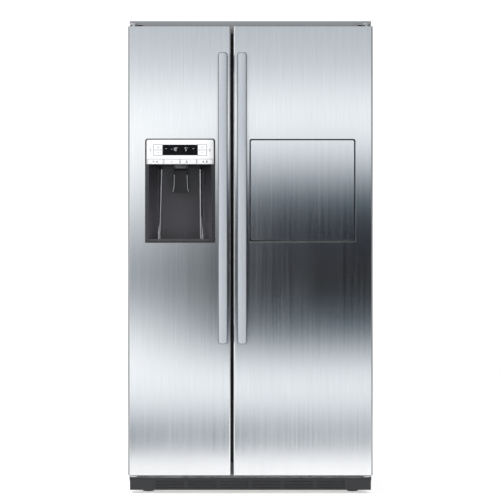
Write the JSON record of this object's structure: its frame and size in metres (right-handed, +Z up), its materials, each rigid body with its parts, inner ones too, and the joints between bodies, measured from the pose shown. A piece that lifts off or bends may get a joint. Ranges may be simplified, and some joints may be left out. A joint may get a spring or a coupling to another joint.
{
  "type": "side by side refrigerator",
  "caption": "Free-standing side by side refrigerator with brushed steel doors, bar handles, an ice and water dispenser and a drop-down home bar flap.",
  "frame": {"origin": "on the floor, under the middle of the whole appliance's footprint", "axes": "+Z up, +X to the right as seen from the front, the doors face -Y"},
  "size_m": [0.91, 0.72, 1.77],
  "materials": {
    "door_steel": "satin",
    "handle_aluminium": "satin",
    "cabinet_paint": "satin",
    "galvanised_sheet": "satin",
    "insulation": "matte",
    "liner_plastic": "satin",
    "clear_plastic": "gloss",
    "shelf_glass": "gloss",
    "panel_plastic": "satin",
    "niche_plastic": "satin",
    "black_plastic": "matte",
    "gasket_rubber": "matte",
    "compressor_paint": "satin",
    "condenser_metal": "satin",
    "evaporator_metal": "satin"
  },
  "bodies": {
    "cabinet": {"outer_shell": "cabinet_paint", "back_panel": "galvanised_sheet", "insulation_foam": "insulation", "freezer_liner": "liner_plastic", "fridge_liner": "liner_plastic", "base_frame": "galvanised_sheet", "kick_grille": "black_plastic", "machine_cover": "galvanised_sheet", "hinge_cover": "cabinet_paint", "compressor": "compressor_paint", "condenser": "condenser_metal", "evaporator": "evaporator_metal", "freezer_duct_cover": "liner_plastic", "water_inlet_valve": "liner_plastic", "ice_maker": "liner_plastic", "ice_bin": "clear_plastic", "freezer_shelf_1": "shelf_glass", "freezer_shelf_2": "shelf_glass", "fridge_shelf_1": "shelf_glass", "fridge_shelf_2": "shelf_glass", "fridge_shelf_3": "shelf_glass", "top_hinge_left": "galvanised_sheet", "top_hinge_right": "galvanised_sheet", "bottom_hinge_left": "galvanised_sheet", "bottom_hinge_right": "galvanised_sheet"},
    "rear_rollers": {"rear_rollers": "black_plastic"},
    "condenser_fan": {"condenser_fan": "black_plastic"},
    "evaporator_fan": {"evaporator_fan": "liner_plastic"},
    "ice_auger": {"ice_auger": "galvanised_sheet"},
    "freezer_drawer_upper": {"freezer_drawer_upper": "clear_plastic"},
    "freezer_drawer_lower": {"freezer_drawer_lower": "clear_plastic"},
    "crisper_upper": {"crisper_upper": "clear_plastic"},
    "crisper_lower": {"crisper_lower": "clear_plastic"},
    "foot_left": {"foot_left": "black_plastic"},
    "foot_right": {"foot_right": "black_plastic"},
    "freezer_door": {"freezer_door_skin": "door_steel", "freezer_door_liner": "liner_plastic", "freezer_door_gasket": "gasket_rubber", "freezer_handle": "handle_aluminium", "dispenser_housing": "niche_plastic", "control_panel": "panel_plastic", "drip_tray": "niche_plastic", "freezer_door_rack_1": "clear_plastic", "freezer_door_rack_2": "clear_plastic"},
    "push_key_1": {"push_key_1": "panel_plastic"},
    "push_key_2": {"push_key_2": "panel_plastic"},
    "push_key_3": {"push_key_3": "panel_plastic"},
    "push_key_4": {"push_key_4": "panel_plastic"},
    "temperature_key_left": {"temperature_key_left": "panel_plastic"},
    "temperature_key_right": {"temperature_key_right": "panel_plastic"},
    "dispenser_paddle": {"dispenser_paddle": "niche_plastic"},
    "fridge_door": {"fridge_door_skin": "door_steel", "fridge_door_liner": "liner_plastic", "fridge_door_gasket": "gasket_rubber", "fridge_handle": "handle_aluminium", "home_bar_bin": "clear_plastic", "fridge_door_rack_1": "clear_plastic", "fridge_door_rack_2": "clear_plastic", "fridge_door_rack_3": "clear_plastic"},
    "home_bar_flap": {"home_bar_flap": "door_steel"}
  },
  "joints": [
    {"name": "freezer_door_hinge", "type": "hinge", "parent": "cabinet", "child": "freezer_door", "pos_m": [-0.435, -0.267, 0.9], "axis": [0, 0, -1], "range_deg": [0, 120]},
    {"name": "fridge_door_hinge", "type": "hinge", "parent": "cabinet", "child": "fridge_door", "pos_m": [0.435, -0.267, 0.9], "axis": [0, 0, 1], "range_deg": [0, 120]},
    {"name": "home_bar_hinge", "type": "hinge", "parent": "fridge_door", "child": "home_bar_flap", "pos_m": [0.1935, -0.304, 0.953], "axis": [1, 0, 0], "range_deg": [0, 90]},
    {"name": "freezer_drawer_upper_slide", "type": "slide", "parent": "cabinet", "child": "freezer_drawer_upper", "axis": [0, -1, 0], "range_m": [0, 0.189]},
    {"name": "freezer_drawer_lower_slide", "type": "slide", "parent": "cabinet", "child": "freezer_drawer_lower", "axis": [0, -1, 0], "range_m": [0, 0.189]},
    {"name": "crisper_upper_slide", "type": "slide", "parent": "cabinet", "child": "crisper_upper", "axis": [0, -1, 0], "range_m": [0, 0.189]},
    {"name": "crisper_lower_slide", "type": "slide", "parent": "cabinet", "child": "crisper_lower", "axis": [0, -1, 0], "range_m": [0, 0.189]},
    {"name": "dispenser_paddle_hinge", "type": "hinge", "parent": "freezer_door", "child": "dispenser_paddle", "pos_m": [-0.2615, -0.247, 1.204], "axis": [1, 0, 0], "range_deg": [0, 12], "stiffness_Nm_per_rad": 0.3, "springref_deg": -11.46},
    {"name": "push_key_1_press", "type": "slide", "parent": "freezer_door", "child": "push_key_1", "axis": [0, 1, 0], "range_m": [0, 0.001], "stiffness_N_per_m": 600, "springref_m": -0.001},
    {"name": "push_key_2_press", "type": "slide", "parent": "freezer_door", "child": "push_key_2", "axis": [0, 1, 0], "range_m": [0, 0.001], "stiffness_N_per_m": 600, "springref_m": -0.001},
    {"name": "push_key_3_press", "type": "slide", "parent": "freezer_door", "child": "push_key_3", "axis": [0, 1, 0], "range_m": [0, 0.001], "stiffness_N_per_m": 600, "springref_m": -0.001},
    {"name": "push_key_4_press", "type": "slide", "parent": "freezer_door", "child": "push_key_4", "axis": [0, 1, 0], "range_m": [0, 0.001], "stiffness_N_per_m": 600, "springref_m": -0.001},
    {"name": "temperature_key_left_rock", "type": "hinge", "parent": "freezer_door", "child": "temperature_key_left", "pos_m": [-0.3435, -0.3099, 1.28], "axis": [1, 0, 0], "range_deg": [-2, 2], "stiffness_Nm_per_rad": 0.6},
    {"name": "temperature_key_right_rock", "type": "hinge", "parent": "freezer_door", "child": "temperature_key_right", "pos_m": [-0.1795, -0.3099, 1.28], "axis": [1, 0, 0], "range_deg": [-2, 2], "stiffness_Nm_per_rad": 0.6},
    {"name": "condenser_fan_spin", "type": "hinge", "parent": "cabinet", "child": "condenser_fan", "pos_m": [-0.028, 0.265, 0.14], "axis": [1, 0, 0], "continuous": true},
    {"name": "evaporator_fan_spin", "type": "hinge", "parent": "cabinet", "child": "evaporator_fan", "pos_m": [-0.251, 0.253, 1.01], "axis": [0, 1, 0], "continuous": true},
    {"name": "ice_auger_spin", "type": "hinge", "parent": "cabinet", "child": "ice_auger", "pos_m": [-0.2615, 0.015, 1.379], "axis": [0, 1, 0], "continuous": true},
    {"name": "rear_rollers_roll", "type": "hinge", "parent": "cabinet", "child": "rear_rollers", "pos_m": [0, 0.3, 0.018], "axis": [1, 0, 0], "continuous": true},
    {"name": "foot_left_turn", "type": "hinge", "parent": "cabinet", "child": "foot_left", "pos_m": [-0.385, -0.195, 0.02], "axis": [0, 0, 1], "continuous": true},
    {"name": "foot_right_turn", "type": "hinge", "parent": "cabinet", "child": "foot_right", "pos_m": [0.385, -0.195, 0.02], "axis": [0, 0, 1], "continuous": true}
  ],
  "couplings": [
    {"joint": "freezer_drawer_upper_slide", "follows": "freezer_door_hinge", "m_per_rad": 0.09},
    {"joint": "freezer_drawer_lower_slide", "follows": "freezer_door_hinge", "m_per_rad": 0.09},
    {"joint": "crisper_upper_slide", "follows": "fridge_door_hinge", "m_per_rad": 0.09},
    {"joint": "crisper_lower_slide", "follows": "fridge_door_hinge", "m_per_rad": 0.09}
  ]
}
